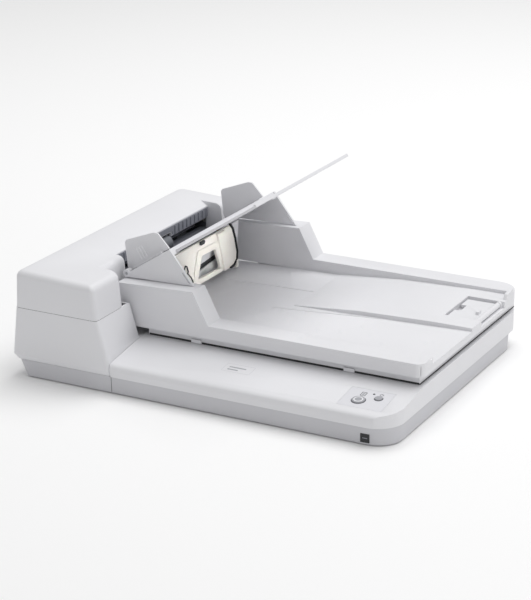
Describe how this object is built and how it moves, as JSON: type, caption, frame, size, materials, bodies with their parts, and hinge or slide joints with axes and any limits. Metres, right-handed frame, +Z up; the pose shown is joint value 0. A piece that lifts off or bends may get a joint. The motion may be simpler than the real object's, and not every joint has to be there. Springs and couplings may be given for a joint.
{
  "type": "sheet fed document scanner",
  "caption": "Desktop document scanner: flatbed with a sheet feeder at one end, a raised paper chute with side guides, and a stacker tray in its lid.",
  "frame": {"origin": "middle of the footprint at table level, under the feet", "axes": "+X along the length towards the stacker tray's free end (feeder at -X), +Y from the operator's front strip to the rear, +Z up"},
  "size_m": [0.4384, 0.345, 0.1947],
  "materials": {
    "case_abs": "fine moulded texture, off-white",
    "skirt_abs": "fine moulded texture, light grey",
    "guide_cream": "satin cream plastic",
    "inner_grey": "dark grey inner plastic",
    "button_grey": "satin grey",
    "panel_film": "printed film, satin",
    "lens_clear": "clear moulded lens",
    "platen_glass": "float glass",
    "white_sheet": "matte white",
    "rubber_black": "matte rubber",
    "rubber_grey": "soft grey roller rubber",
    "steel": "ground steel",
    "zinc_steel": "zinc-plated sheet steel",
    "brass": "sintered bronze",
    "gear_acetal": "natural acetal",
    "board_green": "solder-masked board",
    "socket_black": "black moulded plastic",
    "motor_metal": "plated motor can"
  },
  "bodies": {
    "base": {"lower_case": "skirt_abs", "upper_frame": "case_abs", "platen_glass": "platen_glass", "reference_strip": "white_sheet", "operator_panel": "panel_film", "status_light": "lens_clear", "rubber_feet": "rubber_black", "case_screws": "steel", "carriage_rod": "steel", "drive_belt": "rubber_black", "carriage_motor": "motor_metal", "circuit_boards": "board_green", "power_inlet": "socket_black", "data_socket": "steel", "feeder_housing": "case_abs", "feeder_side_plates": "zinc_steel", "shaft_bushes": "brass", "lower_paper_guide": "inner_grey", "turn_guides": "inner_grey", "feeder_sensor": "socket_black", "feeder_motor": "motor_metal", "feeder_hinge_pins": "steel"},
    "feeder_cover": {"feeder_top_cover": "case_abs", "upper_paper_guide": "inner_grey", "brake_holder": "inner_grey"},
    "brake_roller": {"brake_roller": "rubber_grey"},
    "drum": {"drum_shaft": "steel", "drum_sleeves": "rubber_grey", "drum_gear": "gear_acetal"},
    "exit_roller": {"exit_shaft": "steel", "exit_sleeves": "rubber_grey", "exit_gear": "gear_acetal"},
    "pick_roller": {"pick_shaft": "steel", "pick_sleeves": "rubber_grey", "pick_gear": "gear_acetal"},
    "idler_gear": {"idler_gear": "gear_acetal"},
    "motor_pinion": {"motor_pinion": "brass"},
    "pinch_rollers": {"pinch_rollers": "gear_acetal"},
    "exit_pinch_rollers": {"exit_pinch_rollers": "gear_acetal"},
    "document_cover": {"stacker_tray": "case_abs", "cover_bottom_panel": "case_abs", "document_pad": "white_sheet", "cover_bumpers": "guide_cream", "steel_hinge_pins": "steel", "exit_panel": "guide_cream"},
    "chute": {"chute_sides": "case_abs", "chute_plate": "case_abs"},
    "front_guide": {"front_guide": "case_abs"},
    "rear_guide": {"rear_guide": "case_abs"},
    "guide_pinion": {"guide_pinion": "gear_acetal"},
    "extension": {"extension_plate": "case_abs"},
    "stopper": {"stacker_stopper": "case_abs"},
    "scan_button": {"scan_button": "button_grey"},
    "power_button": {"power_button": "button_grey"},
    "carriage": {"scan_carriage": "inner_grey", "sensor_bar": "socket_black", "sensor_lens": "lens_clear"},
    "drive_pulley": {"drive_pulley": "gear_acetal"},
    "idler_pulley": {"idler_pulley": "gear_acetal"}
  },
  "joints": [
    {"name": "document_cover_hinge", "type": "hinge", "parent": "base", "child": "document_cover", "pos_m": [0.00325, 0.1689, 0.0448], "axis": [-1, 0, 0], "range_deg": [0, 80]},
    {"name": "feeder_cover_hinge", "type": "hinge", "parent": "base", "child": "feeder_cover", "pos_m": [-0.21355, 0, 0.077], "axis": [0, -1, 0], "range_deg": [0, 75]},
    {"name": "brake_roller_spin", "type": "hinge", "parent": "feeder_cover", "child": "brake_roller", "pos_m": [-0.15753, 0.03425, 0.09177], "axis": [0, 1, 0], "continuous": true},
    {"name": "drum_spin", "type": "hinge", "parent": "base", "child": "drum", "pos_m": [-0.17875, 0.03425, 0.066], "axis": [0, 1, 0], "continuous": true},
    {"name": "exit_roller_spin", "type": "hinge", "parent": "base", "child": "exit_roller", "pos_m": [-0.1518, 0.03425, 0.05842], "axis": [0, 1, 0], "continuous": true},
    {"name": "pick_roller_spin", "type": "hinge", "parent": "base", "child": "pick_roller", "pos_m": [-0.14795, 0.03425, 0.0773], "axis": [0, 1, 0], "continuous": true},
    {"name": "idler_gear_spin", "type": "hinge", "parent": "base", "child": "idler_gear", "pos_m": [-0.15954, 0.03425, 0.08039], "axis": [0, 1, 0], "continuous": true},
    {"name": "motor_pinion_spin", "type": "hinge", "parent": "base", "child": "motor_pinion", "pos_m": [-0.18774, 0.03425, 0.04375], "axis": [0, 1, 0], "continuous": true},
    {"name": "pinch_roller_spin", "type": "hinge", "parent": "base", "child": "pinch_rollers", "pos_m": [-0.2001, 0.03425, 0.066], "axis": [0, 1, 0], "continuous": true},
    {"name": "exit_pinch_spin", "type": "hinge", "parent": "base", "child": "exit_pinch_rollers", "pos_m": [-0.15802, 0.03425, 0.06731], "axis": [0, 1, 0], "continuous": true},
    {"name": "chute_lift", "type": "hinge", "parent": "document_cover", "child": "chute", "pos_m": [-0.12915, 0.03425, 0.1008], "axis": [0, -1, 0], "range_deg": [0, 17]},
    {"name": "front_guide_slide", "type": "slide", "parent": "chute", "child": "front_guide", "axis": [0, 1, 0], "range_m": [0, 0.08]},
    {"name": "rear_guide_slide", "type": "slide", "parent": "chute", "child": "rear_guide", "axis": [0, 1, 0], "range_m": [-0.08, 0]},
    {"name": "guide_pinion_spin", "type": "hinge", "parent": "chute", "child": "guide_pinion", "pos_m": [-0.10966, 0.03425, 0.11003], "axis": [-0.5519, 0, 0.8339], "range_deg": [-575, 0]},
    {"name": "extension_slide", "type": "slide", "parent": "chute", "child": "extension", "axis": [0.8339, 0, 0.5519], "range_m": [-0.05, 0]},
    {"name": "stopper_flip", "type": "hinge", "parent": "document_cover", "child": "stopper", "pos_m": [0.21325, 0.0865, 0.0576], "axis": [0, 1, 0], "range_deg": [0, 95]},
    {"name": "scan_button_press", "type": "slide", "parent": "base", "child": "scan_button", "axis": [0, 0.1219, -0.9925], "range_m": [0, 0.001], "stiffness_N_per_m": 400},
    {"name": "power_button_press", "type": "slide", "parent": "base", "child": "power_button", "axis": [0, 0.1219, -0.9925], "range_m": [0, 0.001], "stiffness_N_per_m": 300},
    {"name": "carriage_slide", "type": "slide", "parent": "base", "child": "carriage", "axis": [1, 0, 0], "range_m": [0, 0.292]},
    {"name": "drive_pulley_spin", "type": "hinge", "parent": "base", "child": "drive_pulley", "pos_m": [-0.10475, 0.0895, 0.021], "axis": [0, 0, 1], "range_deg": [0, 2600]},
    {"name": "idler_pulley_spin", "type": "hinge", "parent": "base", "child": "idler_pulley", "pos_m": [0.20125, 0.0895, 0.021], "axis": [0, 0, 1], "range_deg": [0, 2600]}
  ],
  "couplings": [
    {"joint": "exit_roller_spin", "follows": "drum_spin", "ratio": -1.8},
    {"joint": "pick_roller_spin", "follows": "drum_spin", "ratio": 3},
    {"joint": "idler_gear_spin", "follows": "drum_spin", "ratio": -3},
    {"joint": "motor_pinion_spin", "follows": "drum_spin", "ratio": -3},
    {"joint": "pinch_roller_spin", "follows": "drum_spin", "ratio": -3.2},
    {"joint": "exit_pinch_spin", "follows": "drum_spin", "ratio": 3.6},
    {"joint": "rear_guide_slide", "follows": "front_guide_slide", "ratio": -1},
    {"joint": "guide_pinion_spin", "follows": "front_guide_slide", "rad_per_m": -125},
    {"joint": "drive_pulley_spin", "follows": "carriage_slide", "rad_per_m": 153.85},
    {"joint": "idler_pulley_spin", "follows": "carriage_slide", "rad_per_m": 153.85}
  ]
}
